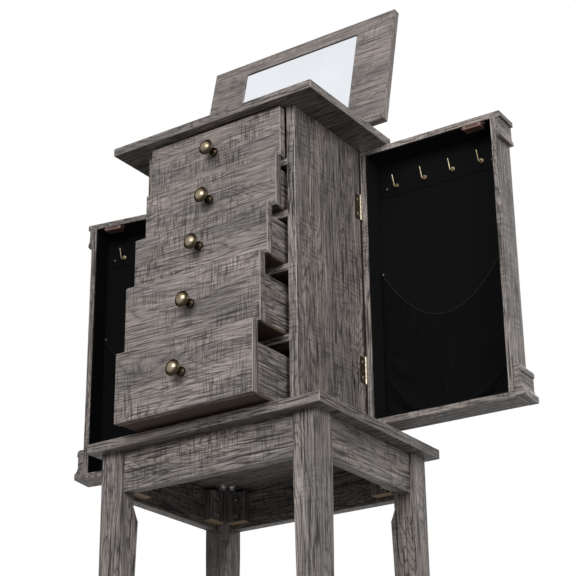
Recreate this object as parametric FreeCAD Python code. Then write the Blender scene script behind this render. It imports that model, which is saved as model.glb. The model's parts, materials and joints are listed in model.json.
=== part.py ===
import FreeCAD, Part
import math
import os

# Jewelry cabinet on a stand, modelled with its doors, lid and drawers open.
# Millimetres. X to the right, Y to the rear, Z up from the floor.
# The origin is on the floor, midway between the four feet.

# Stand
stand_height = 450.0
stand_top_width = 340.0
stand_top_depth = 271.0
stand_top_thickness = 12.0
leg_inset = 14.0
leg_front_inset = 14.0
leg_section = 32.0
leg_foot_section = 24.0
leg_chamfer = 9.0
leg_chamfer_runout = 16.0
leg_shoulder_drop = 30.0
apron_height = 51.0
apron_thickness = 14.0
apron_setback = 3.0
cleat_length = 28.0
cleat_thickness = 13.0
cleat_height = 40.0
cleat_lift = 6.0
cleat_screw_radius = 2.8
cleat_screw_height = 1.4
cleat_screw_pitch = 22.0
bolt_head_radius = 5.0
bolt_head_height = 3.6
bolt_washer_radius = 6.5
bolt_washer_thickness = 1.4
bolt_near = 5.0
bolt_far = 14.0

# Case
case_width = 231.0
case_front_inset = 39.5
side_depth = 150.5
side_thickness = 12.0
back_thickness = 6.0
back_side_inset = 0.6
case_bottom_thickness = 4.5
rail_thickness = 9.0
rail_depth = 28.0
rail_setback = 0.5
runner_ledge = 12.0
runner_guide_thickness = 4.0
runner_guide_height = 8.0
top_board_width = 312.0
top_board_front_inset = 15.0
top_board_depth = 191.0
top_board_thickness = 11.0
edge_ease = 0.7

# Tray under the lid
tray_width = 230.0
tray_front_inset = 62.0
tray_depth = 133.5
tray_height = 25.5
tray_wall = 10.0
tray_felt_thickness = 1.5
tray_felt_drop = 1.5

# Lid, closed size and the angle it stands open
lid_width = 307.0
lid_length = 196.0
lid_thickness = 11.0
lid_open_angle = 102.9
mirror_width = 187.0
mirror_length = 148.0
mirror_thickness = 3.0
mirror_pocket_depth = 4.5
mirror_clearance = 0.3
mirror_bevel = 1.2

# Drawers: front heights from the top down, and how far each one stands out
front_width = 202.8
front_thickness = 11.0
front_heights = [68.5, 68.5, 68.5, 89.0, 89.0]
front_gap = 2.5
drawer_pulls = [0.0, 9.5, 29.0, 44.5, 60.0]
box_drops = [14.0, 14.0, 14.0, 24.0, 24.0]
box_width = 195.0
box_rear_gap = 6.5
box_wall = 8.0
box_bottom_thickness = 3.0
knob_dome_radius = 10.2
knob_dome_height = 5.2
knob_rim_height = 2.4
knob_rim_radius = 9.0
knob_neck_radius = 3.4
knob_neck_length = 13.0
knob_base_radius = 5.8
knob_base_height = 2.4
knob_stud_radius = 2.0
knob_stud_clearance = 0.2
knob_screw_radius = 4.0
knob_screw_height = 2.2

# Doors, measured from the hinge line
door_gap = 1.5
door_width = 195.0
door_bottom_gap = 18.0
door_height = 378.0
door_depth = 38.0
door_panel_thickness = 5.0
door_wall = 7.5
door_felt_thickness = 1.2
door_felt_drop = 1.5
right_door_open_angle = 91.7
left_door_open_angle = 79.5
capital_sizes = {"lip": 5.5, "fascia": 3.3, "bead": 6.0}
capital_heights = {"lip": 4.0, "flare": 9.0, "fascia": 14.0, "bead": 7.5, "round": 1.5}
base_sizes = {"lip": 13.0, "fascia": 8.0, "bead": 9.4}
base_heights = {"lip": 7.5, "flare": 10.0, "fascia": 14.0, "bead": 9.5, "round": 5.0}
hook_pitch = 40.5
hook_count = 4
hook_drop = 43.0
hook_wire_radius = 1.0
hook_cup_radius = 3.0
hook_cup_height = 2.6
hook_shank_length = 3.2
hook_turn_radius = 2.2
hook_bend_radius = 2.8
hook_arm_length = 13.3
hook_lean_angle = 20.7
catch_length = 25.0
catch_depth = 13.0
catch_height = 5.5
catch_edge_gap = 13.5
catch_flange = 4.0
catch_flange_thickness = 1.6

# Butt hinges
leaf_thickness = 1.2
barrel_radius = 1.7
barrel_bore_radius = 1.0
pin_radius = 0.8
pin_cap_radius = 1.5
pin_cap_height = 1.2
knuckle_gap = 0.4
knuckle_count = 5
hinge_clearance = 0.1
hinge_rear_inset = 1.0
hinge_screw_radius = 1.9
hinge_screw_depth = 0.8
hinge_screw_slot_width = 0.6
door_hinge_height = 34.0
door_hinge_leaf_width = 11.0
door_hinge_offsets = [56.0, 281.0]
lid_hinge_height = 32.0
lid_hinge_leaf_width = 9.0
lid_hinge_span = 150.0
cut_overrun = 5.0

HALF_TURN = 180.0
QUARTER_TURN = 90.0
X_AXIS = FreeCAD.Vector(1, 0, 0)
Y_AXIS = FreeCAD.Vector(0, 1, 0)
Z_AXIS = FreeCAD.Vector(0, 0, 1)
ORIGIN = FreeCAD.Vector(0, 0, 0)

# Positions that follow from the sizes
front_edge = -stand_top_depth / 2
stand_under = stand_height - stand_top_thickness
leg_half = stand_top_width / 2 - leg_inset
leg_front = front_edge + leg_front_inset
apron_bottom = stand_under - apron_height
case_half = case_width / 2
case_height = case_bottom_thickness + sum(front_heights) + front_gap * len(front_heights)
inner_half = case_half - side_thickness
case_front = front_edge + case_front_inset
case_rear = case_front + side_depth
box_length = side_depth - box_rear_gap
top_under = stand_height + case_height
top_upper = top_under + top_board_thickness
top_front = front_edge + top_board_front_inset
tray_front = front_edge + tray_front_inset
tray_rear = tray_front + tray_depth
tray_top = top_upper + tray_height
hinge_reach = barrel_radius + hinge_clearance
door_axis = FreeCAD.Vector(case_half + hinge_reach, case_rear - hinge_rear_inset, 0)
lid_axis = FreeCAD.Vector(0, tray_rear - hinge_rear_inset, tray_top + hinge_reach)
door_low = stand_height + door_bottom_gap
door_high = door_low + door_height
door_end = hinge_reach + door_width
door_inner = door_gap - hinge_reach
door_outer = door_inner + door_depth
panel_inner = door_outer - door_panel_thickness


def vec(x, y, z):
    return FreeCAD.Vector(x, y, z)


def block(low, high):
    size = high - low
    return Part.makeBox(size.x, size.y, size.z, low)


def eased(shape):
    return shape.makeChamfer(edge_ease, shape.Edges)


def board(low, high):
    return eased(block(low, high))


def prism(points, along):
    face = Part.Face(Part.makePolygon(points + [points[0]]))
    return face.extrude(along)


def group(shapes):
    return Part.makeCompound(shapes)


def mirrored(shape):
    return shape.mirror(ORIGIN, X_AXIS)


def placed(shape, frame):
    moved = shape.copy()
    moved.Placement = frame.multiply(moved.Placement)
    return moved


def turned(angle):
    return FreeCAD.Placement(ORIGIN, FreeCAD.Rotation(Z_AXIS, angle))


def door_frame_at(angle):
    closed = FreeCAD.Placement(door_axis, FreeCAD.Rotation(Z_AXIS, -QUARTER_TURN))
    return closed.multiply(turned(angle))


def lid_frame_at(angle):
    lying = FreeCAD.Rotation(vec(0, -1, 0), vec(0, 0, 1), vec(-1, 0, 0), "XYZ")
    return FreeCAD.Placement(lid_axis, lying).multiply(turned(angle))


def stand_top_board():
    half = stand_top_width / 2
    return board(vec(-half, front_edge, stand_under), vec(half, -front_edge, stand_height))


def square_wire(section, z):
    corners = [vec(0, 0, z), vec(section, 0, z), vec(section, section, z), vec(0, section, z)]
    return Part.makePolygon(corners + [corners[0]])


def corner_wire(size, z):
    tip = vec(leg_section + cut_overrun, leg_section + cut_overrun, z)
    start = vec(leg_section - size, leg_section + cut_overrun, z)
    bend = vec(leg_section - size, leg_section, z)
    turn = vec(leg_section, leg_section - size, z)
    stop = vec(leg_section + cut_overrun, leg_section - size, z)
    return Part.makePolygon([tip, start, bend, turn, stop, tip])


def apron_inner():
    return apron_setback + apron_thickness


def leg():
    shoulder = apron_bottom - leg_shoulder_drop
    upper = block(vec(0, 0, shoulder), vec(leg_section, leg_section, stand_under))
    lower = Part.makeLoft([square_wire(leg_foot_section, 0), square_wire(leg_section, shoulder)], True, True)
    relief_low = shoulder + leg_chamfer_runout
    straight = Part.Face(corner_wire(leg_chamfer, relief_low)).extrude(vec(0, 0, stand_under - relief_low))
    runout = Part.makeLoft([corner_wire(edge_ease, shoulder), corner_wire(leg_chamfer, relief_low)], True, True)
    return upper.fuse(lower).removeSplitter().cut(straight).cut(runout)


def swapped(shape):
    # The same piece on the other side of the corner, across the leg's diagonal.
    return shape.mirror(ORIGIN, vec(1, -1, 0))


def cleat():
    # Block on the side apron's inner face, against the leg.
    low = vec(apron_inner(), leg_section, apron_bottom + cleat_lift)
    return board(low, low + vec(cleat_thickness, cleat_length, cleat_height))


def cleat_screws():
    face = apron_inner() + cleat_thickness
    middle = apron_bottom + cleat_lift + cleat_height / 2
    heads = []
    for drop in (-cleat_screw_pitch / 2, cleat_screw_pitch / 2):
        place = vec(face, leg_section + cleat_length / 2, middle + drop)
        head = Part.makeCylinder(cleat_screw_radius, cleat_screw_height, place, X_AXIS)
        heads.append(head.makeChamfer(edge_ease, [head.Edges[0]]))
    return heads


def top_bolt():
    # Hexagon bolt with its washer, up through the stand top into the case.
    place = vec(leg_section + bolt_near, leg_section + bolt_far, stand_under)
    washer = Part.makeCylinder(bolt_washer_radius, bolt_washer_thickness, place, -Z_AXIS)
    sides = 6
    turn = 2 * math.pi / sides
    base = place - vec(0, 0, bolt_washer_thickness)
    corners = [base + vec(math.cos(turn * i), math.sin(turn * i), 0) * bolt_head_radius for i in range(sides)]
    return washer.fuse(prism(corners, vec(0, 0, -bolt_head_height))).removeSplitter()


def corner_set(shapes):
    # Both sides of every corner.
    pieces = []
    for shape in shapes:
        for half in (shape, swapped(shape)):
            pieces += four_corners(half).values()
    return group(pieces)


def four_corners(shape):
    # From a front-left shape at the leg's outer corner to all four corners, named.
    home = shape.copy()
    home.translate(vec(-leg_half, leg_front, 0))
    back = home.mirror(ORIGIN, Y_AXIS)
    return {"front_left": home, "front_right": mirrored(home), "rear_left": back, "rear_right": mirrored(back)}


def front_apron():
    half = leg_half - leg_section
    near = leg_front + apron_setback
    return board(vec(-half, near, apron_bottom), vec(half, near + apron_thickness, stand_under))


def right_apron():
    half = -leg_front - leg_section
    outer = leg_half - apron_setback
    return board(vec(outer - apron_thickness, -half, apron_bottom), vec(outer, half, stand_under))


def side_panel():
    return board(vec(inner_half, case_front, stand_height), vec(case_half, case_rear, top_under))


def back_panel():
    # Nailed over the rear edges of the sides, a little short of their outer faces.
    half = case_half - back_side_inset
    return block(vec(-half, case_rear, stand_height), vec(half, case_rear + back_thickness, top_under))


def case_bottom():
    top = stand_height + case_bottom_thickness
    return block(vec(-inner_half, case_front + rail_setback, stand_height), vec(inner_half, case_rear, top))


def front_levels():
    # Lower edge of each drawer front, listed from the top drawer down.
    levels = []
    z = top_under - front_gap
    for height in front_heights:
        levels.append(z - height)
        z = z - height - front_gap
    return levels


def rail(level):
    near = case_front + rail_setback
    return board(vec(-inner_half, near, level - rail_thickness), vec(inner_half, near + rail_depth, level))


def runner(level):
    near = case_front + rail_setback + rail_depth
    low = level - rail_thickness
    tip = level + runner_guide_height
    wall = inner_half - runner_guide_thickness
    inner = inner_half - runner_ledge
    outline = [(inner, low), (inner_half, low), (inner_half, tip), (wall, tip), (wall, level), (inner, level)]
    return prism([vec(x, near, z) for x, z in outline], vec(0, case_rear - near, 0))


def floor_guide(level):
    near = case_front + rail_setback + rail_depth
    low = vec(inner_half - runner_guide_thickness, near, level)
    return block(low, vec(inner_half, case_rear, level + runner_guide_height))


def drawer_rails():
    return group([rail(level) for level in front_levels()[:-1]])


def drawer_runners():
    levels = front_levels()
    right = [runner(level) for level in levels[:-1]] + [floor_guide(levels[-1])]
    return group(right + [mirrored(shape) for shape in right])


def top_board():
    half = top_board_width / 2
    return board(vec(-half, top_front, top_under), vec(half, top_front + top_board_depth, top_upper))


def lid_hinge_places():
    start = -lid_hinge_height / 2
    return [start - lid_hinge_span / 2, start + lid_hinge_span / 2]


def tray_walls():
    half = tray_width / 2
    front = block(vec(-half, tray_front, top_upper), vec(half, tray_front + tray_wall, tray_top))
    rear = block(vec(-half, tray_rear - tray_wall, top_upper), vec(half, tray_rear, tray_top))
    right = block(vec(half - tray_wall, tray_front + tray_wall, top_upper),
                  vec(half, tray_rear - tray_wall, tray_top))
    return group([front, rear, right, mirrored(right)])


def lined_tray(low, high, skin, open_axis):
    # A box of thin skin left open on one side.
    inset = vec(skin, skin, skin)
    inner_low = low + inset
    inner_high = high - inset
    reach = vec(open_axis.x * skin, open_axis.y * skin, open_axis.z * skin) * 2
    if open_axis.x + open_axis.y + open_axis.z > 0:
        inner_high = inner_high + reach
    else:
        inner_low = inner_low + reach
    return block(low, high).cut(block(inner_low, inner_high))


def tray_felt():
    half = tray_width / 2 - tray_wall
    low = vec(-half, tray_front + tray_wall, top_upper)
    high = vec(half, tray_rear - tray_wall, tray_top - tray_felt_drop)
    return lined_tray(low, high, tray_felt_thickness, Z_AXIS)


def knuckles(height, first):
    # Every second knuckle of a barrel, as plain cylinders along the hinge line.
    pitch = height / knuckle_count
    rings = []
    for i in range(first, knuckle_count, 2):
        low = pitch * i + knuckle_gap / 2
        rings.append((low, pitch - knuckle_gap))
    return rings


def hinge_screw(x, y, z):
    head = Part.makeCylinder(hinge_screw_radius, hinge_screw_depth, vec(x, y, z), Y_AXIS)
    low = vec(x - hinge_screw_radius, y + hinge_screw_depth / 2, z - hinge_screw_slot_width / 2)
    high = vec(x + hinge_screw_radius, y + hinge_screw_depth, z + hinge_screw_slot_width / 2)
    return head.cut(block(low, high))


def leaf_screw_places(height, leaf):
    margin = height / knuckle_count
    middle = (leaf + barrel_radius) / 2
    return [(middle, margin), (middle, height - margin)]


def hinge_leaf(height, leaf, first):
    # Plate on the face beside the hinge line, rolled into every second knuckle from the first one named.
    face = leaf_thickness - hinge_reach
    shape = block(vec(0, -hinge_reach, 0), vec(leaf, face, height))
    for low, length in knuckles(height, 1 - first):
        start = vec(0, 0, low - knuckle_gap)
        shape = shape.cut(Part.makeCylinder(barrel_radius + knuckle_gap, length + 2 * knuckle_gap, start))
    for low, length in knuckles(height, first):
        shape = shape.fuse(Part.makeCylinder(barrel_radius, length, vec(0, 0, low)))
    bore = Part.makeCylinder(barrel_bore_radius, height + 2 * cut_overrun, vec(0, 0, -cut_overrun))
    shape = shape.cut(bore).removeSplitter()
    screws = []
    for x, z in leaf_screw_places(height, leaf):
        seat = vec(x, face - hinge_screw_depth, z)
        shape = shape.cut(Part.makeCylinder(hinge_screw_radius, hinge_screw_depth + cut_overrun, seat, Y_AXIS))
        screws.append(hinge_screw(seat.x, seat.y, seat.z))
    return [shape] + screws


def fixed_leaf(height, leaf):
    return hinge_leaf(height, leaf, 0) + [hinge_pin(height)]


def moving_leaf(height, leaf):
    # On the edge of the door or lid, so a quarter turn from the fixed leaf.
    return [placed(shape, turned(QUARTER_TURN)) for shape in hinge_leaf(height, leaf, 1)]


def hinge_pin(height):
    # The pin fills the fixed leaf's bore at both ends and runs free inside the moving leaf.
    pin = Part.makeCylinder(pin_radius, height)
    for low, length in knuckles(height, 0):
        pin = pin.fuse(Part.makeCylinder(barrel_bore_radius, length, vec(0, 0, low)))
    low_cap = Part.makeCylinder(pin_cap_radius, pin_cap_height, vec(0, 0, knuckle_gap / 2 - pin_cap_height))
    high_cap = Part.makeCylinder(pin_cap_radius, pin_cap_height, vec(0, 0, height - knuckle_gap / 2))
    return pin.fuse(low_cap).fuse(high_cap).removeSplitter()


def at_height(shapes, z):
    lifted = []
    for shape in shapes:
        copy = shape.copy()
        copy.translate(vec(0, 0, z))
        lifted.append(copy)
    return lifted


def door_hinge_fixed_leaves():
    leaves = []
    for level in door_hinge_offsets:
        for shape in at_height(fixed_leaf(door_hinge_height, door_hinge_leaf_width), door_low + level):
            right = placed(shape, door_frame_at(0))
            leaves += [right, mirrored(right)]
    return group(leaves)


def lid_hinge_fixed_leaves():
    leaves = []
    for place in lid_hinge_places():
        shapes = at_height(fixed_leaf(lid_hinge_height, lid_hinge_leaf_width), place)
        leaves += [placed(shape, lid_frame_at(0)) for shape in shapes]
    return group(leaves)


def mirror_outline(start, depth, lip):
    # Edge of the mirror opening, widened by the lip, at a depth into the lid.
    low = start - lip
    high = start + mirror_length + lip
    half = mirror_width / 2 + lip
    corners = [vec(low, depth, -half), vec(high, depth, -half), vec(high, depth, half), vec(low, depth, half)]
    return Part.makePolygon(corners + [corners[0]])


def mirror_start():
    return hinge_reach + (lid_length - mirror_length) / 2


def lid_board():
    # Built in the hinge frame: X from the hinge line to the free edge, Y upward when closed.
    half = lid_width / 2
    high = vec(hinge_reach + lid_length, door_inner + lid_thickness, half)
    shape = board(vec(hinge_reach, door_inner, -half), high)
    start = mirror_start()
    pocket = block(vec(start, door_inner - cut_overrun, -mirror_width / 2),
                   vec(start + mirror_length, door_inner + mirror_pocket_depth, mirror_width / 2))
    rim = [mirror_outline(start, door_inner, mirror_bevel), mirror_outline(start, door_inner + mirror_bevel, 0)]
    return shape.cut(pocket).cut(Part.makeLoft(rim, True, True))


def lid_mirror():
    start = mirror_start() + mirror_clearance
    stop = start + mirror_length - 2 * mirror_clearance
    half = mirror_width / 2 - mirror_clearance
    back = door_inner + mirror_pocket_depth
    return block(vec(start, back - mirror_thickness, -half), vec(stop, back, half))


def lid_hinge_leaves():
    shapes = []
    for place in lid_hinge_places():
        shapes += at_height(moving_leaf(lid_hinge_height, lid_hinge_leaf_width), place)
    return group(shapes)


def drawer_front(height):
    half = front_width / 2
    shape = board(vec(-half, -front_thickness, 0), vec(half, 0, height))
    hole = Part.makeCylinder(knob_stud_radius + knob_stud_clearance, front_thickness + 2 * cut_overrun,
                             vec(0, -front_thickness - cut_overrun, height / 2), Y_AXIS)
    return shape.cut(hole)


def drawer_box(height):
    half = box_width / 2
    low = box_bottom_thickness
    side = board(vec(half - box_wall, 0, low), vec(half, box_length, height))
    inner = half - box_wall
    back = block(vec(-inner, box_length - box_wall, low), vec(inner, box_length, height))
    return group([side, mirrored(side), back])


def drawer_bottom():
    half = box_width / 2
    return block(vec(-half, 0, 0), vec(half, box_length, box_bottom_thickness))


def knob(height):
    # Turned profile: stud, flared base, neck, rim and dome, from the drawer's back to the front.
    face = front_thickness
    base = face + knob_base_height
    rim = base + knob_neck_length
    dome = rim + knob_rim_height
    tip = dome + knob_dome_height
    lead = [vec(0, -knob_screw_height, 0), vec(knob_screw_radius, -knob_screw_height, 0),
            vec(knob_screw_radius, 0, 0), vec(knob_stud_radius, 0, 0), vec(knob_stud_radius, face, 0),
            vec(knob_base_radius, face, 0), vec(knob_base_radius, base, 0)]
    edges = [Part.makeLine(a, b) for a, b in zip(lead, lead[1:])]
    waist = vec(knob_neck_radius, (base + rim) / 2, 0)
    edges.append(Part.Arc(lead[-1], waist, vec(knob_rim_radius, rim, 0)).toShape())
    edges.append(Part.makeLine(vec(knob_rim_radius, rim, 0), vec(knob_rim_radius, dome, 0)))
    edges.append(Part.makeLine(vec(knob_rim_radius, dome, 0), vec(knob_dome_radius, dome, 0)))
    cap = (knob_dome_radius ** 2 + knob_dome_height ** 2) / (2 * knob_dome_height)
    lean = math.asin(knob_dome_radius / cap) / 2
    bulge = vec(cap * math.sin(lean), tip - cap + cap * math.cos(lean), 0)
    edges.append(Part.Arc(vec(knob_dome_radius, dome, 0), bulge, vec(0, tip, 0)).toShape())
    edges.append(Part.makeLine(vec(0, tip, 0), lead[0]))
    outline = Part.Face(Part.Wire(edges))
    turned_knob = outline.revolve(ORIGIN, Y_AXIS, 2 * HALF_TURN)
    facing = FreeCAD.Placement(vec(0, 0, height / 2), FreeCAD.Rotation(Z_AXIS, HALF_TURN))
    return placed(turned_knob, facing)


def drawer(number):
    height = front_heights[number]
    level = front_levels()[number]
    home = vec(0, case_front - drawer_pulls[number], level)
    pieces = {"front": drawer_front(height), "box": drawer_box(height - box_drops[number]),
              "bottom": drawer_bottom(), "knob": knob(height)}
    for shape in pieces.values():
        shape.translate(home)
    return pieces


def door_panel():
    return board(vec(hinge_reach, panel_inner, door_low), vec(door_end, door_outer, door_high))


def door_frame():
    inner_low = door_low + door_wall
    inner_high = door_high - door_wall
    left = hinge_reach + door_wall
    right = door_end - door_wall
    hinge_stile = block(vec(hinge_reach, door_inner, door_low), vec(left, panel_inner, door_high))
    free_stile = block(vec(right, door_inner, door_low), vec(door_end, panel_inner, door_high))
    low_rail = block(vec(left, door_inner, door_low), vec(right, panel_inner, inner_low))
    high_rail = block(vec(left, door_inner, inner_high), vec(right, panel_inner, door_high))
    return group([hinge_stile, free_stile, low_rail, high_rail])


def moulding(sizes, heights):
    # Profile from the bottom up: flat lip, hollow flare, flat fascia and a bead rounded at its top.
    lip, fascia, bead, curve = sizes["lip"], sizes["fascia"], sizes["bead"], heights["round"]
    z_lip = heights["lip"]
    z_flare = z_lip + heights["flare"]
    z_fascia = z_flare + heights["fascia"]
    z_bead = z_fascia + heights["bead"]
    step = lip - fascia
    hollow = (step ** 2 + heights["flare"] ** 2) / (2 * step)
    lean = math.asin(heights["flare"] / hollow) / 2
    dip = vec(fascia + hollow - hollow * math.cos(lean), 0, z_flare - hollow * math.sin(lean))
    shoulder = math.radians(QUARTER_TURN) / 2
    crown = vec(bead - curve + curve * math.cos(shoulder), 0, z_bead - curve + curve * math.sin(shoulder))
    lower = [vec(0, 0, z_bead), ORIGIN, vec(lip, 0, 0), vec(lip, 0, z_lip)]
    upper = [vec(fascia, 0, z_flare), vec(fascia, 0, z_fascia), vec(bead, 0, z_fascia), vec(bead, 0, z_bead - curve)]
    top = vec(bead - curve, 0, z_bead)
    edges = [Part.makeLine(a, b) for a, b in zip(lower, lower[1:])]
    edges.append(Part.Arc(lower[-1], dip, upper[0]).toShape())
    edges += [Part.makeLine(a, b) for a, b in zip(upper, upper[1:])]
    edges.append(Part.Arc(upper[-1], crown, top).toShape())
    edges.append(Part.makeLine(top, lower[0]))
    return Part.Face(Part.Wire(edges)).extrude(vec(0, door_depth, 0))


def moulding_height(heights):
    return heights["lip"] + heights["flare"] + heights["fascia"] + heights["bead"]


def door_mouldings():
    base = moulding(base_sizes, base_heights)
    base.translate(vec(door_end, door_inner, door_low))
    capital = moulding(capital_sizes, capital_heights)
    capital.translate(vec(door_end, door_inner, door_high - moulding_height(capital_heights)))
    return group([base, capital])


def door_felt():
    low = vec(hinge_reach + door_wall, door_inner + door_felt_drop, door_low + door_wall)
    high = vec(door_end - door_wall, panel_inner, door_high - door_wall)
    felt = lined_tray(low, high, door_felt_thickness, -Y_AXIS)
    for x in hook_places():
        felt = felt.cut(Part.makeCylinder(hook_cup_radius, hook_cup_height, hook_root(x), -Y_AXIS))
    return felt.cut(catch_room())


def hook_places():
    middle = hinge_reach + door_width / 2
    start = middle - hook_pitch * (hook_count - 1) / 2
    return [start + hook_pitch * i for i in range(hook_count)]


def hook_root(x):
    low = door_high - door_wall - hook_drop
    return vec(x, panel_inner, low + hook_bend_radius + hook_turn_radius)


def around(centre, radius, angle):
    # Point of a hook's bend, measured from straight out of the door panel towards the top.
    turn = math.radians(angle)
    return centre + vec(0, -math.cos(turn), math.sin(turn)) * radius


def arc_edge(centre, radius, start, stop):
    return Part.Arc(around(centre, radius, start), around(centre, radius, (start + stop) / 2),
                    around(centre, radius, stop)).toShape()


def hook(x):
    # Wire hook on the door's inner panel: out of a small cup, down round the bend and up along the arm.
    root = hook_root(x)
    turn = root + vec(0, -hook_shank_length, -hook_turn_radius)
    bend = turn + vec(0, -hook_turn_radius - hook_bend_radius, 0)
    knee = around(bend, hook_bend_radius, -hook_lean_angle)
    tip = around(knee, hook_arm_length, QUARTER_TURN - hook_lean_angle)
    shank = Part.makeLine(root, around(turn, hook_turn_radius, QUARTER_TURN))
    lower = arc_edge(bend, hook_bend_radius, -HALF_TURN, -hook_lean_angle)
    path = Part.Wire([shank, arc_edge(turn, hook_turn_radius, QUARTER_TURN, 0), lower, Part.makeLine(knee, tip)])
    ring = Part.Wire([Part.makeCircle(hook_wire_radius, root, -Y_AXIS)])
    wire = path.makePipeShell([ring], True, True)
    cup = Part.makeCylinder(hook_cup_radius, hook_cup_height, root, -Y_AXIS)
    return wire.fuse(cup).fuse(Part.makeSphere(hook_wire_radius, tip)).removeSplitter()


def door_hooks():
    return group([hook(x) for x in hook_places()])


def catch_low():
    return vec(door_end - door_wall - catch_edge_gap - catch_length, door_inner, door_high - door_wall - catch_height)


def catch_room():
    low = catch_low()
    start = low - vec(catch_flange, door_depth, 0)
    stop = low + vec(catch_length + catch_flange, catch_depth, catch_height + edge_ease)
    return block(start, stop)


def door_catch():
    # Moulded catch: a body with a magnet slot at its front and a fixing flange at each end.
    low = catch_low()
    body = eased(block(low, low + vec(catch_length, catch_depth, catch_height)))
    slot_low = low + vec(catch_flange, -cut_overrun, catch_flange_thickness)
    slot_high = low + vec(catch_length - catch_flange, catch_flange_thickness, catch_height - catch_flange_thickness)
    flange_low = low + vec(-catch_flange, catch_flange, catch_height - catch_flange_thickness)
    flange_high = low + vec(catch_length + catch_flange, catch_depth - catch_flange, catch_height)
    return body.cut(block(slot_low, slot_high)).fuse(block(flange_low, flange_high)).removeSplitter()


def door_hinge_leaves():
    shapes = []
    for level in door_hinge_offsets:
        shapes += at_height(moving_leaf(door_hinge_height, door_hinge_leaf_width), door_low + level)
    return group(shapes)


def door():
    return {"panel": door_panel(), "frame": door_frame(), "mouldings": door_mouldings(), "felt": door_felt(),
            "hooks": door_hooks(), "hinge_leaves": door_hinge_leaves(), "catch": door_catch()}


def cabinet():
    pieces = {"stand_top_board": stand_top_board()}
    for place, shape in four_corners(leg()).items():
        pieces["leg_" + place] = shape
    pieces["corner_blocks"] = corner_set([cleat()])
    pieces["block_screws"] = corner_set(cleat_screws())
    pieces["stand_bolts"] = corner_set([top_bolt()])
    pieces["front_apron"] = front_apron()
    pieces["rear_apron"] = front_apron().mirror(ORIGIN, Y_AXIS)
    pieces["right_apron"] = right_apron()
    pieces["left_apron"] = mirrored(right_apron())
    pieces["right_side_panel"] = side_panel()
    pieces["left_side_panel"] = mirrored(side_panel())
    pieces["back_panel"] = back_panel()
    pieces["case_bottom"] = case_bottom()
    pieces["drawer_rails"] = drawer_rails()
    pieces["drawer_runners"] = drawer_runners()
    pieces["top_board"] = top_board()
    pieces["tray_walls"] = tray_walls()
    pieces["tray_felt"] = tray_felt()
    pieces["door_hinge_fixed_leaves"] = door_hinge_fixed_leaves()
    pieces["lid_hinge_fixed_leaves"] = lid_hinge_fixed_leaves()
    lid_frame = lid_frame_at(lid_open_angle)
    pieces["lid_board"] = placed(lid_board(), lid_frame)
    pieces["lid_mirror"] = placed(lid_mirror(), lid_frame)
    pieces["lid_hinge_leaves"] = placed(lid_hinge_leaves(), lid_frame)
    for number in range(len(front_heights)):
        for name, shape in drawer(number).items():
            pieces["drawer_" + str(number + 1) + "_" + name] = shape
    for name, shape in door().items():
        pieces["right_door_" + name] = placed(shape, door_frame_at(right_door_open_angle))
        pieces["left_door_" + name] = mirrored(placed(shape, door_frame_at(left_door_open_angle)))
    return pieces


os.makedirs("parts", exist_ok=True)
for node, solid in cabinet().items():
    solid.exportStep("parts/" + node + ".step")
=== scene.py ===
# %% [markdown]
# # A jewelry cabinet on its stand
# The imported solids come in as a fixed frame: every board, drawer, door and hinge is already in
# place, in metres. This lesson gives them their finishes, adds the small and soft pieces inside
# the doors, and sets up the studio.

# %% Load the frame
import json
import math
import bpy
from mathutils import Matrix, Vector


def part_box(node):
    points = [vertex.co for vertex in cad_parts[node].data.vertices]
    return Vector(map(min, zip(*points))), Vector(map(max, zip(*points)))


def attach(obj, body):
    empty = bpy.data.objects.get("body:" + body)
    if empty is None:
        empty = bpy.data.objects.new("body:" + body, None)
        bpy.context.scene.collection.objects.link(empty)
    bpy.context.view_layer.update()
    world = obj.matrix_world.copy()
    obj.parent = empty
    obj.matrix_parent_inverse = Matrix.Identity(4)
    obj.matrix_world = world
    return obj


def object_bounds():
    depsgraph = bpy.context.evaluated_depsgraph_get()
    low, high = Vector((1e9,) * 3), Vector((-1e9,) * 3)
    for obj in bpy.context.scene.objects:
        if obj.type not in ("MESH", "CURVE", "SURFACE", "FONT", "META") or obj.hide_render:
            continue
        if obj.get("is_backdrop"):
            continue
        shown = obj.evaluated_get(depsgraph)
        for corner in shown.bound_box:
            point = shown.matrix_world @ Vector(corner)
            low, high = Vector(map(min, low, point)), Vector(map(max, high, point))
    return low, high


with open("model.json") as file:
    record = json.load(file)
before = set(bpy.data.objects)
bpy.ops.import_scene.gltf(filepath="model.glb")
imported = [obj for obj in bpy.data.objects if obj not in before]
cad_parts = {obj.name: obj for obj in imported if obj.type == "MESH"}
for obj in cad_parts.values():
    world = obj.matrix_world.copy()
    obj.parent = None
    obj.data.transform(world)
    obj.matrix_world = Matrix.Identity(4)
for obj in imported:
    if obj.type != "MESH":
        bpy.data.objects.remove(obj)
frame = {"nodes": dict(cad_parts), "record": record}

scene = bpy.context.scene
nodes = frame["nodes"]
sides = ("left", "right")
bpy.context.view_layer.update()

# %% [markdown]
# ## Camera
# The cabinet is seen from the front right and from below, with a long lens. The eye's place and
# turn are written as a bearing, a rise and a slight roll, because those are easier to correct by
# eye than three Euler angles.

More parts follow.
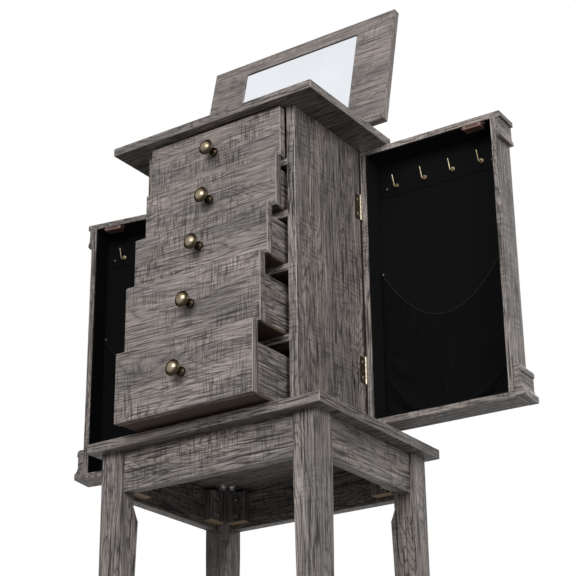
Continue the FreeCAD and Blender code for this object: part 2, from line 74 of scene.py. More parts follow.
# %% Camera
eye_place = Vector((1.082274, -1.551284, -0.151292))
bearing, rise, roll = (math.radians(angle) for angle in (35.346, 23.192, -0.178))
look = Vector((-math.sin(bearing) * math.cos(rise), math.cos(bearing) * math.cos(rise),
               math.sin(rise)))
level_right = Vector((math.cos(bearing), math.sin(bearing), 0))
level_up = level_right.cross(look)
right = math.cos(roll) * level_right + math.sin(roll) * level_up
up = math.cos(roll) * level_up - math.sin(roll) * level_right
lens_data = bpy.data.cameras.new("studio_camera")
lens_data.lens, lens_data.sensor_width = 100.31, 36.0
lens_data.shift_x, lens_data.shift_y = 0.063, 0.0058
camera = bpy.data.objects.new("studio_camera", lens_data)
camera.location = eye_place
camera.rotation_euler = Matrix((right, up, -look)).transposed().to_euler()
scene.collection.objects.link(camera)
scene.camera = camera
print("camera at", [round(v, 3) for v in eye_place])

# %% [markdown]
# ## Helpers for shader nodes
# A shader tree is a list of nodes and links. One small helper adds a node, sets its options and
# fills each input, with a value or with another node's output. The others are shorthand for the
# nodes that come up again and again.


# %% Node helpers
def fill(tree, node, inputs):
    for name, value in inputs.items():
        if isinstance(value, bpy.types.NodeSocket):
            tree.links.new(value, node.inputs[name])
        else:
            node.inputs[name].default_value = value


def put(tree, kind, inputs, **options):
    node = tree.nodes.new(kind)
    for name, value in options.items():
        setattr(node, name, value)
    fill(tree, node, inputs)
    return node


def calc(tree, operation, first, second=0.0):
    return put(tree, "ShaderNodeMath", {0: first, 1: second}, operation=operation).outputs[0]


def weighted(tree, layers):
    total = 0.0
    for layer, share in layers:
        total = calc(tree, "ADD", total, calc(tree, "MULTIPLY", layer, share))
    return total


def remap(tree, value, old_low, old_high, new_low=0.0, new_high=1.0):
    settings = {0: value, 1: old_low, 2: old_high, 3: new_low, 4: new_high}
    return put(tree, "ShaderNodeMapRange", settings).outputs[0]


def noise(tree, vector, detail=2.0, roughness=0.5, scale=1.0):
    settings = {"Vector": vector, "Scale": scale, "Detail": detail, "Roughness": roughness}
    return put(tree, "ShaderNodeTexNoise", settings).outputs


print("node helpers ready")

# %% [markdown]
# Places and normals are vectors. They are read from the solid's own coordinates, taken apart, put
# together in another order, stretched, or chosen by a mask.


# %% Vector helpers
def coordinates(tree, kind):
    return tree.nodes.new("ShaderNodeTexCoord").outputs[kind]


def split(tree, vector):
    return put(tree, "ShaderNodeSeparateXYZ", {0: vector}).outputs


def ordered(tree, vector, order):
    parts = split(tree, vector)
    picked = {i: parts["XYZ".index(axis)] for i, axis in enumerate(order)}
    return put(tree, "ShaderNodeCombineXYZ", picked).outputs[0]


def vector_calc(tree, operation, first, second):
    return put(tree, "ShaderNodeVectorMath", {0: first, 1: second}, operation=operation).outputs[0]


def stretch(tree, place, along, across):
    return vector_calc(tree, "MULTIPLY", place, (along, across, across))


def choose_vector(tree, mask, unmasked, masked):
    settings = {0: mask, 4: unmasked, 5: masked}
    return put(tree, "ShaderNodeMix", settings, data_type="VECTOR").outputs[1]


def steepest(tree, normal):
    parts = [calc(tree, "ABSOLUTE", part) for part in split(tree, normal)]
    return calc(tree, "MAXIMUM", calc(tree, "MAXIMUM", parts[0], parts[1]), parts[2])


print("vector helpers ready")

# %% [markdown]
# Colours come from ramps and are laid over each other. A material is one Principled shader, and
# painting over it means mixing another colour into the one it already has, where a mask says so.


# %% Colour and material helpers
def grey(level):
    return (level, level, level)


def ramp(tree, factor, stops):
    node = put(tree, "ShaderNodeValToRGB", {0: factor})
    band = node.color_ramp
    while len(band.elements) < len(stops):
        band.elements.new(0.5)
    for element, (where, colour) in zip(band.elements, stops):
        element.position = where
        element.color = (*colour, 1.0)
    return node.outputs[0]


def blend_colours(tree, mode, factor, first, second):
    settings = {0: factor, 6: first, 7: second}
    return put(tree, "ShaderNodeMix", settings, data_type="RGBA", blend_type=mode).outputs[2]


def new_material(name):
    material = bpy.data.materials.new(name)
    material.use_nodes = True
    tree = material.node_tree
    tree.nodes.clear()
    shader = tree.nodes.new("ShaderNodeBsdfPrincipled")
    put(tree, "ShaderNodeOutputMaterial", {"Surface": shader.outputs[0]})
    return material


def set_surface(material, inputs):
    fill(material.node_tree, material.node_tree.nodes["Principled BSDF"], inputs)


def paint_over(material, mask, colour):
    tree = material.node_tree
    below = tree.nodes["Principled BSDF"].inputs["Base Color"].links[0].from_socket
    set_surface(material, {"Base Color": blend_colours(tree, "MIX", mask, below, colour)})


def dress(node_name, material):
    slots = nodes[node_name].data.materials
    slots.clear()
    slots.append(material)


def dress_all(ending, material):
    for name in nodes:
        if name.endswith(ending):
            dress(name, material)


print("colour and material helpers ready")

# %% [markdown]
# ## Weathered oak
# The boards are covered with a printed grey oak: long streaks and short dark pores along the
# grain, broad warm and cool patches, and fine saw marks across it. It could be one stretched
# noise, but then it looks like brushed metal, so each of those marks is a layer of its own with
# its own stretch. The group works in grain-first coordinates: its first axis runs along the
# grain. On a board's ends the foil is turned, so the group swaps its first two axes there. A slow
# noise then pushes the grain a little sideways, because no grain is dead straight.

# %% Oak group
VALUE, VECTOR, COLOUR = "NodeSocketFloat", "NodeSocketVector", "NodeSocketColor"
end_lean, sway_reach = 0.7, 0.008
oak_tree = bpy.data.node_groups.new("weathered_oak", "ShaderNodeTree")
for label, kind in (("Place", VECTOR), ("Facing", VECTOR), ("Shift", VECTOR),
                    ("Saw marks", VALUE), ("Figure", VALUE), ("Rub", VALUE)):
    oak_tree.interface.new_socket(label, in_out="INPUT", socket_type=kind)
for label, kind in (("Colour", COLOUR), ("Height", VALUE), ("Roughness", VALUE)):
    oak_tree.interface.new_socket(label, in_out="OUTPUT", socket_type=kind)
given = oak_tree.nodes.new("NodeGroupInput").outputs
result = oak_tree.nodes.new("NodeGroupOutput")
end_facing = calc(oak_tree, "ABSOLUTE", split(oak_tree, given["Facing"])[0])
on_end = calc(oak_tree, "GREATER_THAN", end_facing, end_lean)
turned = ordered(oak_tree, given["Place"], "YXZ")
along_grain = choose_vector(oak_tree, on_end, given["Place"], turned)
moved = vector_calc(oak_tree, "ADD", along_grain, given["Shift"])
waver = noise(oak_tree, stretch(oak_tree, moved, along=7.0, across=18.0))["Color"]
sway = vector_calc(oak_tree, "SUBTRACT", waver, grey(0.5))
push = vector_calc(oak_tree, "MULTIPLY", sway, (0.0, sway_reach, sway_reach))
swayed = vector_calc(oak_tree, "ADD", moved, push)
print("oak group started:", len(oak_tree.nodes), "nodes")

# %% [markdown]
# Each layer is a noise, stretched by so many periods in a metre along and across the grain. The
# growth rings are level lines of a slow noise, which close into the long loops that a flat-sawn
# board shows.


# %% Oak layers
def fibre(along, across, detail, roughness=0.5, source=swayed):
    return noise(oak_tree, stretch(oak_tree, source, along, across), detail, roughness)[0]


streaks = fibre(along=14.0, across=370.0, detail=7.0, roughness=0.78)
bands = fibre(along=7.0, across=150.0, detail=2.0, roughness=0.6)
fine = fibre(along=50.0, across=1100.0, detail=3.0)
patches = fibre(along=6.0, across=28.0, detail=3.0, source=moved)
pores = fibre(along=14.0, across=520.0, detail=2.0, roughness=0.55)
fine_pores = fibre(along=34.0, across=980.0, detail=2.0)
saw = fibre(along=480.0, across=46.0, detail=2.0, source=moved)
saw_zone = fibre(along=16.0, across=22.0, detail=1.0, source=moved)
slow = fibre(along=4.0, across=24.0, detail=1.0)
ring_count, ring_waver = 58.0, 0.05
levels = calc(oak_tree, "ADD", slow, calc(oak_tree, "MULTIPLY", streaks, ring_waver))
rings = calc(oak_tree, "PINGPONG", calc(oak_tree, "MULTIPLY", levels, ring_count), 1.0)
tone = weighted(oak_tree, [(streaks, 0.54), (fine, 0.10), (patches, 0.24), (bands, 0.12)])
print("oak layers:", len(oak_tree.nodes), "nodes")

# %% [markdown]
# The tone picks the colour, and the other layers are masks that darken or warm it. A narrow step in
# a ramp turns a soft noise into crisp dashes, which is how the pores and saw marks get their edges.

# %% Oak colour
grain = ramp(oak_tree, tone, [(0.37, (0.072, 0.064, 0.060)), (0.46, (0.165, 0.147, 0.137)),
                              (0.53, (0.250, 0.224, 0.210)), (0.62, (0.400, 0.364, 0.346))])
warm = ramp(oak_tree, patches, [(0.40, (0.98, 0.99, 1.0)), (0.62, (1.03, 0.99, 0.965))])
ring_mask = ramp(oak_tree, rings, [(0.0, (0.26, 0.25, 0.25)), (0.14, (0.55, 0.54, 0.53)),
                                   (0.34, grey(1.0)), (1.0, grey(1.12))])
wide_mask = ramp(oak_tree, pores, [(0.405, grey(0.10)), (0.445, grey(1.06))])
thin_mask = ramp(oak_tree, fine_pores, [(0.36, (0.30, 0.29, 0.29)), (0.42, grey(1.0))])
pore_mask = blend_colours(oak_tree, "MULTIPLY", 1.0, wide_mask, thin_mask)
saw_mask = ramp(oak_tree, saw, [(0.38, (0.36, 0.35, 0.34)), (0.49, grey(0.96)),
                                (0.60, (1.16, 1.16, 1.15))])
ring_share = calc(oak_tree, "MULTIPLY", given["Figure"], 0.9)
pore_share = calc(oak_tree, "MULTIPLY", given["Figure"], 0.95)
saw_here = remap(oak_tree, saw_zone, old_low=0.38, old_high=0.60)
saw_share = calc(oak_tree, "MULTIPLY", saw_here, given["Saw marks"])
for share, mask in ((1.0, warm), (ring_share, ring_mask), (pore_share, pore_mask),
                    (saw_share, saw_mask)):
    grain = blend_colours(oak_tree, "MULTIPLY", share, grain, mask)
print("oak colour:", len(oak_tree.nodes), "nodes")

# %% [markdown]
# Along every eased edge the foil is rubbed and the paler board shows. The easing is a narrow face
# at 45 degrees, so a normal that leans equally to two axes finds it. Dark grain lies deeper and is
# rougher than pale grain.

# %% Rubbed edges and relief
pale_board = (0.40, 0.37, 0.345, 1.0)
eased = remap(oak_tree, steepest(oak_tree, given["Facing"]), old_low=0.9, old_high=0.75)
rubbed = calc(oak_tree, "MULTIPLY", eased, given["Rub"])
fill(oak_tree, result, {
    "Colour": blend_colours(oak_tree, "MIX", rubbed, grain, pale_board),
    "Height": weighted(oak_tree, [(streaks, 0.6), (pores, 0.4)]),
    "Roughness": remap(oak_tree, tone, old_low=0.3, old_high=0.7, new_low=0.62, new_high=0.46)})
print("oak group done:", len(oak_tree.nodes), "nodes")

# %% [markdown]
# ## One oak per board
# Real foil runs along each board's length. A material turns Object coordinates into grain-first
# order by picking the axes one by one, so the same group serves legs, aprons, fronts and panels.
# Each gets its own shift, so no two boards show the same figure. A board's row gives its name, its
# axes (along the grain first, then the direction that the grain takes on its ends) and how strongly
# it shows saw marks.

# %% Oak materials
oak_shift = (0.37, 0.23, 0.11)
front_figure = 0.78


def oak(name, order, number, saw_marks, figure=1.0, rub=0.5):
    material = new_material(name)
    tree = material.node_tree
    settings = {"Place": ordered(tree, coordinates(tree, "Object"), order),
                "Facing": ordered(tree, coordinates(tree, "Normal"), order),
                "Shift": tuple(step * number for step in oak_shift),
                "Saw marks": saw_marks, "Figure": figure, "Rub": rub}
    wood = put(tree, "ShaderNodeGroup", settings, node_tree=oak_tree, name="oak").outputs
    bump = put(tree, "ShaderNodeBump",
               {"Height": wood["Height"], "Strength": 0.35, "Distance": 0.0006})
    set_surface(material, {"Base Color": wood["Colour"], "Roughness": wood["Roughness"],
                           "Normal": bump.outputs[0], "Specular IOR Level": 0.3})
    return material


boards = [("stand_top_board", "XYZ", 0.5), ("top_board", "XYZ", 0.4),
          ("front_apron", "XZY", 0.9), ("rear_apron", "XZY", 0.9),
          ("left_apron", "YZX", 0.9), ("right_apron", "YZX", 0.9),
          ("leg_front_left", "ZXY", 0.35), ("leg_front_right", "ZXY", 0.35),
          ("leg_rear_left", "ZXY", 0.35), ("leg_rear_right", "ZXY", 0.35),
          ("left_side_panel", "ZYX", 0.8), ("right_side_panel", "ZYX", 0.8),
          ("tray_walls", "XYZ", 0.4), ("drawer_rails", "XYZ", 0.2)]
for drawer in range(1, 6):
    boards += [("drawer_%d_front" % drawer, "XZY", 1.0), ("drawer_%d_box" % drawer, "YXZ", 0.5)]
for side in sides:
    boards += [(side + "_door_panel", "ZXY", 0.4), (side + "_door_frame", "ZXY", 0.7),
               (side + "_door_mouldings", "YXZ", 0.3)]
for number, (name, order, saw_marks) in enumerate(boards, start=1):
    figure = front_figure if name.endswith("_front") else 1.0
    dress(name, oak("oak_" + name, order, number, saw_marks, figure))
print("oak boards:", len(boards))

# %% [markdown]
# The lid's mirror lies in a shallow pocket. The pocket's upper rim faces down and away from the
# light, so it gets painted shade: a near-black line. With the lid leaning back, that rim is the
# only face of the board, above a certain height, whose normal points forwards and half down, which
# is how the mask finds it.

# %% Lid
rim_lean, rim_level, painted_rim_shade = (-0.7, -0.4), 0.92, (0.012, 0.011, 0.010, 1.0)
lid_oak = oak("oak_lid_board", "XZY", number=38, saw_marks=0.45, figure=0.6, rub=0.0)
tree = lid_oak.node_tree
lean = split(tree, coordinates(tree, "Normal"))[2]
height = split(tree, coordinates(tree, "Object"))[2]
rim_shade_mask = calc(tree, "MULTIPLY", calc(tree, "GREATER_THAN", lean, rim_lean[0]),
           calc(tree, "LESS_THAN", lean, rim_lean[1]))
rim_shade_mask = calc(tree, "MULTIPLY", rim_shade_mask, calc(tree, "GREATER_THAN", height, rim_level))
# painted shade: the pocket's upper rim, facing down and away from the light, is coloured near black
paint_over(lid_oak, rim_shade_mask, painted_rim_shade)
dress("lid_board", lid_oak)
print("lid dressed")

# %% [markdown]
# The doors' frames are one solid each, but the real ones are four strips, and the foil on the top
# and bottom strips runs sideways. The strips are known by their height, so above the one level and
# below the other the grain takes its second order.


# %% Door strips
def turn_strips(material, order, low_level, high_level):
    tree = material.node_tree
    wood = tree.nodes["oak"]
    height = split(tree, coordinates(tree, "Object"))[2]
    upright = calc(tree, "MULTIPLY", calc(tree, "GREATER_THAN", height, low_level),
                   calc(tree, "LESS_THAN", height, high_level))
    for socket, source in (("Place", "Object"), ("Facing", "Normal")):
        standing = wood.inputs[socket].links[0].from_socket
        lying = ordered(tree, coordinates(tree, source), order)
        tree.links.new(choose_vector(tree, upright, lying, standing), wood.inputs[socket])


frame_strip = 0.0075
for side in sides:
    low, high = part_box(side + "_door_frame")
    turn_strips(nodes[side + "_door_frame"].data.materials[0], "XZY",
                low[2] + frame_strip, high[2] - frame_strip)
print("door strips turned")

# %% [markdown]
# The cleats in the stand's corners are dark boards too, sawn off without foil, so their undersides
# show pale wood.

# %% Cleats
underside_lean = -0.7
cleat_oak = oak("oak_cleats", "ZXY", number=40, saw_marks=0.3)
tree = cleat_oak.node_tree
underside = calc(tree, "LESS_THAN", split(tree, coordinates(tree, "Normal"))[2], underside_lean)
sawn = noise(tree, stretch(tree, coordinates(tree, "Object"), along=260.0, across=900.0))[0]
pale_wood = ramp(tree, sawn, [(0.3, (0.30, 0.20, 0.12)), (0.7, (0.46, 0.34, 0.22))])
paint_over(cleat_oak, underside, pale_wood)
dress("corner_blocks", cleat_oak)
print("cleats dressed")

# %% [markdown]
# ## Brown board, raw wood and felt
# Drawer bottoms and the back are hardboard: pressed brown fibre. The runners are pale unfinished
# wood. The trays are lined with black felt, a mat of fine fibres that catches a little light at
# grazing angles, which is what sheen is for.


# %% Hardboard, raw wood and felt
def mottled(name, stops, size, along, bump_height, roughness, roughness_spread=0.08):
    material = new_material(name)
    tree = material.node_tree
    place = stretch(tree, coordinates(tree, "Object"), size * along, size)
    fibres = noise(tree, place, detail=6.0, roughness=0.7)[0]
    bump = put(tree, "ShaderNodeBump", {"Height": fibres, "Strength": 0.5, "Distance": bump_height})
    wear = remap(tree, fibres, old_low=0.3, old_high=0.7,
                 new_low=roughness + roughness_spread, new_high=roughness - roughness_spread)
    set_surface(material, {"Base Color": ramp(tree, fibres, stops), "Normal": bump.outputs[0],
                           "Roughness": wear})
    return material


hardboard = mottled("brown_hardboard", [(0.3, (0.030, 0.017, 0.011)), (0.7, (0.075, 0.045, 0.029))],
                    size=420.0, along=0.6, bump_height=0.0004, roughness=0.7)
raw_wood = mottled("raw_wood", [(0.3, (0.42, 0.27, 0.15)), (0.7, (0.60, 0.43, 0.27))],
                   size=260.0, along=0.12, bump_height=0.0004, roughness=0.75)
felt = mottled("black_felt", [(0.3, (0.0010, 0.0010, 0.0012)), (0.72, (0.0042, 0.0040, 0.0046))],
               size=1500.0, along=1.0, bump_height=0.0006, roughness=0.92)
set_surface(felt, {"Sheen Weight": 0.008, "Sheen Roughness": 0.6, "Specular IOR Level": 0.08})
for ending, material in (("_bottom", hardboard), ("back_panel", hardboard),
                         ("drawer_runners", raw_wood), ("_felt", felt)):
    dress_all(ending, material)
print("board, wood and felt dressed")

# %% [markdown]
# ## Metals, plastic and mirror
# Knobs, hooks and hinges are antique brass: polished on the high spots with a darker, rougher skin
# in cloudy patches. A metal's look is its reflections, so the patches change roughness as well as
# colour. Bolts are bright, and the cleats' screws are dull.


# %% Metals
def metal(name, bright, dull, smooth, rough, size, cloud_low=0.36, cloud_high=0.62):
    material = new_material(name)
    tree = material.node_tree
    cloud = noise(tree, coordinates(tree, "Object"), detail=4.0, scale=size)[0]
    set_surface(material, {
        "Base Color": ramp(tree, cloud, [(cloud_low, dull), (cloud_high, bright)]),
        "Roughness": remap(tree, cloud, cloud_low, cloud_high, rough, smooth), "Metallic": 1.0})
    return material


knob_brass = metal("antique_brass_knobs", bright=(0.31, 0.252, 0.182), dull=(0.19, 0.152, 0.104),
                   smooth=0.24, rough=0.38, size=160.0)
hook_brass = metal("antique_brass_hooks", bright=(0.42, 0.35, 0.23), dull=(0.20, 0.16, 0.10),
                   smooth=0.24, rough=0.42, size=240.0)
steel = metal("zinc_steel", bright=(0.72, 0.72, 0.73), dull=(0.48, 0.48, 0.50),
              smooth=0.2, rough=0.4, size=300.0)
dull_steel = metal("dull_steel_screws", bright=(0.20, 0.175, 0.15), dull=(0.10, 0.085, 0.07),
                   smooth=0.34, rough=0.5, size=300.0)
silver = metal("mirror_silver", bright=(0.835, 0.86, 0.895), dull=(0.79, 0.82, 0.86),
               smooth=0.015, rough=0.03, size=8.0)
brown_plastic = mottled("brown_plastic", [(0.3, (0.135, 0.072, 0.058)), (0.7, (0.18, 0.10, 0.082))],
                        size=900.0, along=1.0, bump_height=0.0001, roughness=0.45)
for ending, material in (("_knob", knob_brass), ("_hooks", hook_brass), ("stand_bolts", steel),
                         ("block_screws", dull_steel), ("lid_mirror", silver),
                         ("_door_catch", brown_plastic)):
    dress_all(ending, material)
print("metals dressed")

# %% [markdown]
# On a knob the flanks and neck get a painted dark reflection, standing in for the dark surroundings
# they would mirror, while the crown of the dome keeps the plain brass. So the colour also follows
# how far a face looks forwards, and a dark tint, a painted dark reflection too, holds back the
# white that every metal reflects near its outline.

# %% Knob flanks with painted dark reflection
painted_dark_flank_reflection, painted_dark_outline_tint = (0.040, 0.031, 0.020, 1.0), (0.22, 0.18, 0.13, 1.0)
tree = knob_brass.node_tree
forwards = split(tree, coordinates(tree, "Normal"))[1]
# painted dark reflection: faces that look away from the front turn near black
paint_over(knob_brass, remap(tree, forwards, old_low=-0.97, old_high=-0.80), painted_dark_flank_reflection)
# painted dark reflection: the tint darkens the white that the metal reflects near its outline
set_surface(knob_brass, {"Specular Tint": painted_dark_outline_tint})
print("knobs darkened at their flanks")

# %% [markdown]
# A hinge's leaves keep their dark bronze skin, while hands and doors rub the round barrel bright.
# A flat leaf has a normal close to one axis, and the barrel's normals lie between, so the normal
# tells them apart. The screws in the fixed leaves are bright too. They sit at known heights,
# mirrored about each hinge's middle, so distances taken twice find all of them.

# %% Hinges
flat_lean = 0.97
rubbed_bronze, bright_head = (0.33, 0.285, 0.215, 1.0), (0.58, 0.50, 0.36, 1.0)
screw_line, hinges_middle, hinge_reach = 0.04715, 0.6535, 0.1125
leaf_screw_reach, leaf_screw_radius = 0.0102, 0.0019


def hinge_metal(name):
    material = metal(name, bright=(0.085, 0.065, 0.045), dull=(0.035, 0.027, 0.020),
                     smooth=0.34, rough=0.5, size=240.0)
    tree = material.node_tree
    lean = steepest(tree, coordinates(tree, "Normal"))
    paint_over(material, calc(tree, "LESS_THAN", lean, flat_lean), rubbed_bronze)
    return material


def distance(tree, value, level):
    return calc(tree, "ABSOLUTE", calc(tree, "SUBTRACT", value, level))


leaf_bronze = hinge_metal("bronze_hinge_leaves")
dress_all("_leaves", leaf_bronze)
fixed_bronze = hinge_metal("bronze_fixed_leaves")
tree = fixed_bronze.node_tree
spot = split(tree, coordinates(tree, "Object"))
from_hinge = distance(tree, distance(tree, spot[2], hinges_middle), hinge_reach)
above = calc(tree, "POWER", distance(tree, from_hinge, leaf_screw_reach), 2.0)
aside = calc(tree, "POWER", distance(tree, spot[1], screw_line), 2.0)
head = calc(tree, "LESS_THAN", calc(tree, "ADD", above, aside), leaf_screw_radius ** 2)
paint_over(fixed_bronze, head, bright_head)
dress("door_hinge_fixed_leaves", fixed_bronze)
print("hinges dressed")

# %% [markdown]
# ## The doors' own axes
# Each door was built flat against its hinge pin and then swung open, so its small pieces are
# easiest to make in the door's own axes: first outwards from the pin, then into the tray, then up.
# The record knows where the pin stands and how far the door is open, and a matrix made from the
# two carries a finished mesh to its door. The left door mirrors the right one, which turns faces
# inside out, so they are turned back there.

# %% Door axes
hinge_of = {joint["child"]: joint for joint in frame["record"]["behaviour"]["joints"]}


def door_axes(side):
    hinge = hinge_of[side + "_door"]
    lean = math.radians(-hinge["range_deg"][0] - 90)
    hand = 1 if side == "right" else -1
    outward = (hand * math.cos(lean), math.sin(lean), 0)
    inward = (-hand * math.sin(lean), math.cos(lean), 0)
    axes = Matrix((outward, inward, (0, 0, 1))).transposed().to_4x4()
    return Matrix.Translation((hinge["pos_m"][0], hinge["pos_m"][1], 0)) @ axes


def fit_to_doors(model, name, material):
    pair = {}
    for side in sides:
        piece = bpy.data.objects.new(side + "_door_" + name, model.data.copy())
        scene.collection.objects.link(piece)
        piece.data.transform(door_axes(side))
        if side == "left":
            piece.data.flip_normals()
        piece.data.materials.clear()
        piece.data.materials.append(material)
        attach(piece, side + "_door")
        pair[side] = piece
    bpy.data.objects.remove(model)
    print(name, "on both doors:", len(piece.data.polygons), "faces each")
    return pair


print("door axes ready:", sorted(hinge_of))

# %% [markdown]
# Blender's tools work on what is picked, so a few short helpers pick a piece, apply one of its
# modifiers, or shade it smooth.


# %% Modelling helpers
def pick(*pieces):
    bpy.ops.object.select_all(action="DESELECT")
    for piece in pieces:
        piece.select_set(True)
    bpy.context.view_layer.objects.active = pieces[0]


def apply_modifier(piece, name):
    pick(piece)
    bpy.ops.object.modifier_apply(modifier=name)


def smooth(piece):
    for face in piece.data.polygons:
        face.use_smooth = True


print("modelling helpers ready")

# %% [markdown]
# ## Hook strip
# The hooks stand on a thin felt-covered strip that runs from wall to wall. A box stretched to size
# in edit mode, with its edges rounded by a bevel, is enough: felt over card has soft edges and no
# sharp line.

# %% Hook strip
tray_near, tray_far, tray_back, tray_floor = 0.0105, 0.1881, 0.0315, 0.4767
tray_middle = (tray_near + tray_far) / 2
strip_low, strip_high, strip_thickness, strip_play = 0.7865, 0.8100, 0.0010, 0.0002
strip_rounding, strip_crease = 0.0004, math.radians(40)
strip_size = (tray_far - tray_near - 2 * strip_play, strip_thickness, strip_high - strip_low)
strip_place = (tray_middle, tray_back - strip_thickness / 2, (strip_low + strip_high) / 2)
bpy.ops.mesh.primitive_cube_add(size=1.0)
strip_model = bpy.context.object
bpy.ops.object.mode_set(mode="EDIT")
bpy.ops.transform.resize(value=strip_size)
bpy.ops.transform.translate(value=strip_place)
bpy.ops.mesh.bevel(offset=strip_rounding, segments=3)
bpy.ops.object.mode_set(mode="OBJECT")
bpy.ops.object.shade_smooth_by_angle(angle=strip_crease)
fit_to_doors(strip_model, "hook_strip", felt)

# %% [markdown]
# ## Screws and tacks
# A dark round-headed screw holds the strip at each end, and a tack of the same make holds each end
# of the pouch below. A head is a short cylinder whose top is inset and raised into a low dome. Two
# crossing bars, taken away by boolean modifiers, leave the cross for the driver.

# %% Screw head
top_lean, dome_steps = 0.9, ((0.16, 0.26), (0.2, 0.16), (0.2, 0.06))
bar_length, bar_width, bar_depth = 1.1, 0.24, 1.1


def dark_screw(radius, height):
    bpy.ops.mesh.primitive_cylinder_add(vertices=32, radius=radius, depth=height)
    head = bpy.context.object
    bpy.ops.object.mode_set(mode="EDIT")
    bpy.ops.mesh.select_all(action="DESELECT")
    bpy.ops.object.mode_set(mode="OBJECT")
    for face in head.data.polygons:
        face.select = face.normal.z > top_lean
    bpy.ops.object.mode_set(mode="EDIT")
    for inset, lift in dome_steps:
        bpy.ops.mesh.inset(thickness=inset * radius)
        bpy.ops.transform.translate(value=(0, 0, lift * height))
    bpy.ops.object.mode_set(mode="OBJECT")
    for turn in (0, 90):
        bpy.ops.mesh.primitive_cube_add(size=1.0, location=(0, 0, height),
                                        rotation=(0, 0, math.radians(turn)))
        bar = bpy.context.object
        bar.scale = (bar_length * radius, bar_width * radius, bar_depth * height)
        slot_cut = head.modifiers.new("slot", "BOOLEAN")
        slot_cut.object, slot_cut.operation = bar, "DIFFERENCE"
        apply_modifier(head, "slot")
        bpy.data.objects.remove(bar)
    return head


def screw_row(places, radius, height, name):
    head = dark_screw(radius, height)
    head.rotation_euler = (math.radians(90), 0, 0)
    pick(head)
    bpy.ops.object.transform_apply(location=False, rotation=True, scale=True)
    copies = []
    for place in places:
        copy = bpy.data.objects.new(name, head.data.copy())
        copy.data.transform(Matrix.Translation(place))
        scene.collection.objects.link(copy)
        copies.append(copy)
    bpy.data.objects.remove(head)
    pick(*copies)
    bpy.ops.object.join()
    return copies[0]


dark_steel = metal("dark_steel_screws", bright=(0.06, 0.06, 0.063), dull=(0.025, 0.025, 0.027),
                   smooth=0.28, rough=0.45, size=300.0)
screw_reach, screw_height, screw_radius, screw_depth = 0.0765, 0.7983, 0.0028, 0.0012
screw_face = tray_back - strip_thickness - screw_depth / 2
screw_places = [(tray_middle + hand * screw_reach, screw_face, screw_height) for hand in (-1, 1)]
strip_screws = screw_row(screw_places, screw_radius, screw_depth, "strip_screws")
fit_to_doors(strip_screws, "strip_screws", dark_steel)

# %% [markdown]
# ## Pouch
# A loose black cloth pouch crosses each tray, so that small things can lie in it. Its hem is a
# slack elastic that hangs in a curve between two tacks. Drawn by hand such cloth looks like sheet
# metal, so a grid is cut to the pouch's outline and the cloth solver lets it go. First the grid: it
# bellies out a little, and a shallow ripple gives the folds somewhere to start.

# %% Pouch cut to shape
pouch_near, pouch_far, pouch_floor = tray_near + 0.001, tray_far - 0.001, tray_floor + 0.0015
pouch_width = pouch_far - pouch_near
hem_end, hem_dip, pouch_fullness = 0.6800, 0.0755, 0.035
sewn_depth, belly, sewn_margin = tray_back - 0.0026, 0.0030, 0.001
ripple_height, ripple_across, ripple_lean = 0.0011, 31, 3


def hem_height(share):
    return hem_end - hem_dip * (1 - (2 * share - 1) ** 2)


bpy.ops.mesh.primitive_grid_add(x_subdivisions=66, y_subdivisions=58, size=1.0)
pouch_model = bpy.context.object
sewn = pouch_model.vertex_groups.new(name="sewn")
for vertex in pouch_model.data.vertices:
    share, level = vertex.co.x + 0.5, vertex.co.y + 0.5
    ripple = ripple_height * math.sin(ripple_across * share + ripple_lean * level)
    ripple = ripple * math.sin(math.pi * share) * math.sin(math.pi * level)
    swell = belly * math.sin(math.pi * share) * level
    if min(share, 1 - share, level, 1 - level) < sewn_margin:
        sewn.add([vertex.index], 1.0, "REPLACE")
    vertex.co = (pouch_near + share * pouch_width, sewn_depth - swell + ripple,
                 pouch_floor + level * (hem_height(share) - pouch_floor))

# %% [markdown]
# The cloth is sewn down along the floor, both walls and the hem. It is a little larger than the
# space between them, so it settles into folds in front of the tray's back, which a plain block
# stands for while the solver runs.

# %% Pouch let go
cloth_steps, cloth_gap = 30, 0.001
backing_size, backing_place = (0.3, 0.02, 0.5), (tray_middle, tray_back + 0.0095, 0.6)
bpy.ops.mesh.primitive_cube_add(size=1.0)
backing = bpy.context.object
backing.scale, backing.location = backing_size, backing_place
backing.modifiers.new("backing", "COLLISION")
backing.collision.thickness_outer = cloth_gap
cloth = pouch_model.modifiers.new("pouch_cloth", "CLOTH")
cloth.settings.vertex_group_mass = "sewn"
cloth.settings.shrink_min = -pouch_fullness
cloth.settings.quality, cloth.settings.mass, cloth.settings.bending_stiffness = 8, 0.15, 0.05
cloth.collision_settings.distance_min = cloth_gap
for step in range(1, cloth_steps + 1):
    scene.frame_set(step)
apply_modifier(pouch_model, "pouch_cloth")
bpy.data.objects.remove(backing)
scene.frame_set(1)
depths = [vertex.co.y for vertex in pouch_model.data.vertices]
print("pouch depth:", round(min(depths), 4), "to", round(max(depths), 4))

# %% [markdown]
# The hem is a tube along the cloth's top edge, swept as a curve and made a mesh.

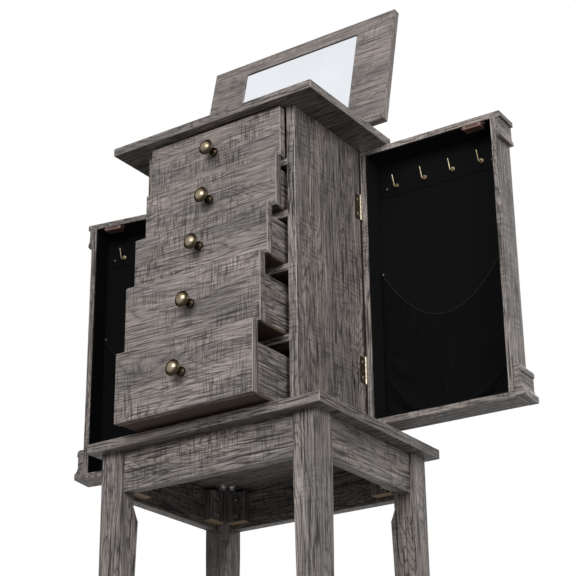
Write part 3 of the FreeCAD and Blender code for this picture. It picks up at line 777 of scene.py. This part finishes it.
# %% Hem
edge_play, hem_radius = 0.0005, 0.0011
edge = [vertex.co.copy() for vertex in pouch_model.data.vertices
        if any(group.weight > 0 for group in vertex.groups)
        and vertex.co.z > hem_height((vertex.co.x - pouch_near) / pouch_width) - edge_play]
edge.sort(key=lambda place: place.x)
hem_curve = bpy.data.curves.new("hem", "CURVE")
hem_curve.dimensions, hem_curve.use_fill_caps = "3D", True
hem_curve.bevel_depth, hem_curve.bevel_resolution = hem_radius, 3
line = hem_curve.splines.new("NURBS")
line.points.add(len(edge) - 1)
for point, place in zip(line.points, edge):
    point.co = (*place, 1.0)
line.order_u, line.use_endpoint_u = 3, True
hem_model = bpy.data.objects.new("hem", hem_curve)
scene.collection.objects.link(hem_model)
pick(hem_model)
bpy.ops.object.convert(target="MESH")
hem_model = bpy.context.object
smooth(hem_model)
elastic_stops = [(0.3, (0.0022, 0.0022, 0.0025)), (0.7, (0.007, 0.007, 0.0078))]
grey_elastic = mottled("grey_elastic", elastic_stops,
                       size=1800.0, along=0.3, bump_height=0.0002, roughness=0.7)
set_surface(grey_elastic, {"Specular IOR Level": 0.12})
hems = fit_to_doors(hem_model, "pouch_hem", grey_elastic)

# %% [markdown]
# The cloth then gets its own thickness. Before it was hung it was cut a little larger than the
# space, by the same fullness in both directions, and that is its flat size.

# %% Pouch fitted
cloth_thickness = 0.0006
thickness = pouch_model.modifiers.new("thickness", "SOLIDIFY")
thickness.thickness, thickness.offset = cloth_thickness, 0.0
apply_modifier(pouch_model, "thickness")
smooth(pouch_model)
cloth_stops = [(0.3, (0.0010, 0.0010, 0.0012)), (0.72, (0.0044, 0.0042, 0.0048))]
black_cloth = mottled("black_cloth", cloth_stops,
                      size=1100.0, along=0.35, bump_height=0.0003, roughness=0.92)
set_surface(black_cloth, {"Sheen Weight": 0.006, "Specular IOR Level": 0.06})
pouches = fit_to_doors(pouch_model, "pouch", black_cloth)

# %% [markdown]
# The tacks stand in the cloth's upper corners, just below the ends of the hem.

# %% Tacks
tack_radius, tack_depth, tack_inset = 0.0022, 0.001, 0.0025
tack_face, tack_height = sewn_depth - 0.0016, hem_end - 0.003
tack_places = [(tray_middle + hand * (pouch_width / 2 - tack_inset), tack_face, tack_height)
               for hand in (-1, 1)]
tacks = screw_row(tack_places, tack_radius, tack_depth, "pouch_tacks")
fit_to_doors(tacks, "pouch_tacks", dark_steel)

# %% [markdown]
# ## Studio
# A pale floor under the feet and a white surround, both at full strength only for the eye and the
# reflections, so that they throw little light of their own. The floor is a disc, smaller than the
# eye's distance.


# %% Floor and surround
def seen_by(tree, first_ray, *more_rays):
    sight = tree.nodes.new("ShaderNodeLightPath").outputs
    seen = sight[first_ray]
    for ray in more_rays:
        seen = calc(tree, "MAXIMUM", seen, sight[ray])
    return seen


bpy.ops.mesh.primitive_circle_add(vertices=96, radius=1.0, fill_type="NGON", location=(0, 0, 0))
floor = bpy.context.object
floor.name = "studio_floor"
floor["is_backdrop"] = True
pale_floor = new_material("pale_floor")
tree = pale_floor.node_tree
floor_lit, floor_seen = (0.25, 0.25, 0.25, 1), (0.85, 0.85, 0.85, 1)
seen = seen_by(tree, "Is Camera Ray", "Is Glossy Ray")
floor_colour = blend_colours(tree, "MIX", seen, floor_lit, floor_seen)
set_surface(pale_floor, {"Base Color": floor_colour, "Roughness": 0.9})
floor.data.materials.append(pale_floor)

surround_lit, surround_seen = 0.05, 1.0
world = bpy.data.worlds.new("studio")
scene.world = world
world.use_nodes = True
tree = world.node_tree
tree.nodes.clear()
seen = seen_by(tree, "Is Camera Ray", "Is Glossy Ray", "Is Transmission Ray")
strength = remap(tree, seen, 0.0, 1.0, surround_lit, surround_seen)
surround = put(tree, "ShaderNodeBackground", {"Color": (1, 1, 1, 1), "Strength": strength})
put(tree, "ShaderNodeOutputWorld", {"Surface": surround.outputs[0]})
print("floor and surround ready")

# %% [markdown]
# Four soft lamps light the cabinet: a broad key from the front, a weaker fill from the right and
# two behind. Each is a square of so many metres that looks at a point inside the cabinet.


# %% Lamps
def soft_lamp(name, place, aim_height, size, power):
    data = bpy.data.lights.new(name, "AREA")
    data.size, data.energy = size, power
    lamp = bpy.data.objects.new(name, data)
    lamp.location = place
    aim = Vector((0, 0, aim_height)) - Vector(place)
    lamp.rotation_euler = aim.to_track_quat("-Z", "Y").to_euler()
    scene.collection.objects.link(lamp)


soft_lamp("key_lamp", place=(0.5, -2.3, 1.5), aim_height=0.6, size=1.3, power=53)
soft_lamp("fill_lamp", place=(2.6, -0.9, 1.2), aim_height=0.6, size=1.6, power=41)
soft_lamp("rim_lamp", place=(0.2, 2.4, 1.6), aim_height=0.7, size=1.2, power=16)
soft_lamp("back_lamp", place=(-1.3, 2.2, 1.2), aim_height=0.6, size=1.4, power=34)
scene.view_settings.view_transform = "Standard"
print("studio lamps: 4")

# %% Finish
low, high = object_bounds()
